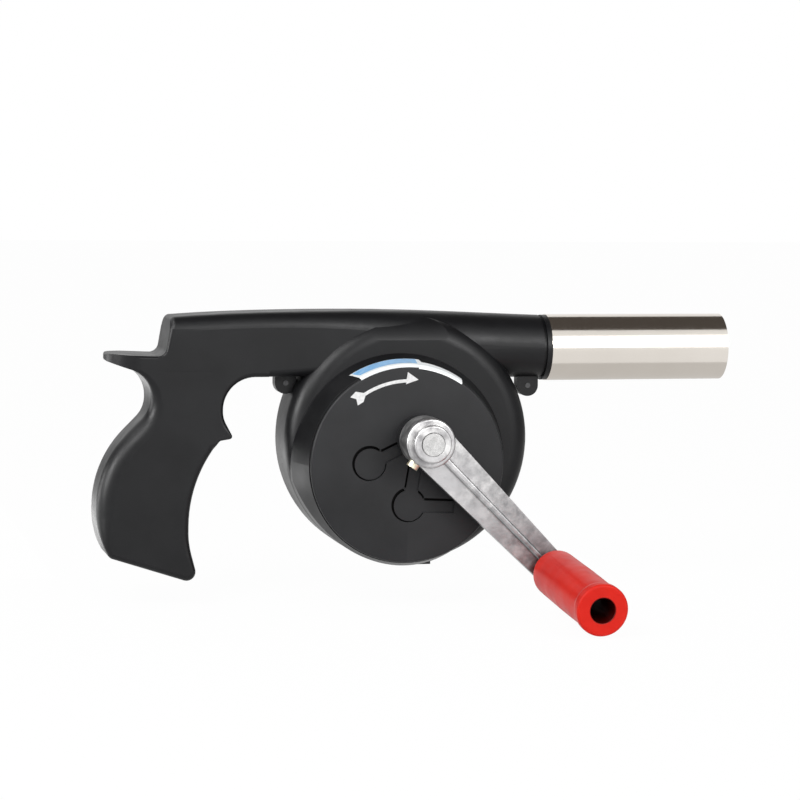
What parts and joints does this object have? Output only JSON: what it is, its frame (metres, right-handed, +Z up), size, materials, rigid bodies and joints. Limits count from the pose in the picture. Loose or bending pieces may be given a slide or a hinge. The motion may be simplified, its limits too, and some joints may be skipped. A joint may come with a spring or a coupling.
{
  "type": "hand crank fan",
  "caption": "Pistol-grip hand blower: a side crank drives a geared fan in a round chamber that blows through a plain metal outlet tube.",
  "frame": {"origin": "centre of the mouth of the outlet tube", "axes": "+X along the outlet tube, out of its mouth; +Z up, with the grip hanging below; the gear case, crank and knob are on the -Y side"},
  "size_m": [0.2913, 0.147, 0.13],
  "materials": {
    "shell_plastic": "satin",
    "cover_plastic": "satin",
    "tube_steel": "polished",
    "crank_metal": "cast",
    "knob_plastic": "gloss",
    "brass_parts": "satin",
    "gear_plastic": "satin",
    "fan_plastic": "satin",
    "steel_parts": "brushed"
  },
  "bodies": {
    "housing": {"near_shell": "shell_plastic", "far_shell": "shell_plastic", "gear_cover": "cover_plastic", "nozzle_tube": "tube_steel", "nozzle_collar": "shell_plastic", "crank_bush": "brass_parts", "gear_plate": "steel_parts", "plate_screws": "steel_parts", "first_idler_axle": "steel_parts", "second_idler_axle": "steel_parts", "third_idler_axle": "steel_parts", "axle_spacers": "gear_plastic", "front_fan_bush": "brass_parts", "rear_fan_bush": "brass_parts", "shell_screws": "steel_parts"},
    "crank": {"crank_arm": "crank_metal", "crank_shaft": "steel_parts", "crank_set_screw": "brass_parts", "crank_washer": "steel_parts", "drive_gear": "gear_plastic", "knob_pin": "steel_parts", "knob_washer": "steel_parts"},
    "knob": {"knob_sleeve": "knob_plastic"},
    "first_idler": {"first_idler_gear": "gear_plastic"},
    "second_idler": {"second_idler_gear": "gear_plastic"},
    "third_idler": {"third_idler_gear": "gear_plastic"},
    "fan": {"impeller": "fan_plastic", "fan_shaft": "steel_parts", "fan_pinion": "gear_plastic", "impeller_nut": "steel_parts"}
  },
  "joints": [
    {"name": "crank_spin", "type": "hinge", "parent": "housing", "child": "crank", "pos_m": [-0.1507, 0, -0.0376], "axis": [0, 1, 0], "continuous": true},
    {"name": "knob_spin", "type": "hinge", "parent": "crank", "child": "knob", "pos_m": [-0.09289, -0.0445, -0.09561], "axis": [0, -0.9976, -0.0698], "continuous": true},
    {"name": "first_idler_spin", "type": "hinge", "parent": "housing", "child": "first_idler", "pos_m": [-0.17345, 0, -0.04845], "axis": [0, 1, 0], "continuous": true},
    {"name": "second_idler_spin", "type": "hinge", "parent": "housing", "child": "second_idler", "pos_m": [-0.15549, 0, -0.06725], "axis": [0, 1, 0], "continuous": true},
    {"name": "third_idler_spin", "type": "hinge", "parent": "housing", "child": "third_idler", "pos_m": [-0.13537, 0, -0.05415], "axis": [0, 1, 0], "continuous": true},
    {"name": "fan_spin", "type": "hinge", "parent": "housing", "child": "fan", "pos_m": [-0.15115, 0, -0.0406], "axis": [0, 1, 0], "continuous": true}
  ],
  "couplings": [
    {"joint": "first_idler_spin", "follows": "crank_spin", "ratio": -2.3158},
    {"joint": "second_idler_spin", "follows": "crank_spin", "ratio": 5.6066},
    {"joint": "third_idler_spin", "follows": "crank_spin", "ratio": -15.418},
    {"joint": "fan_spin", "follows": "crank_spin", "ratio": 34.691}
  ]
}
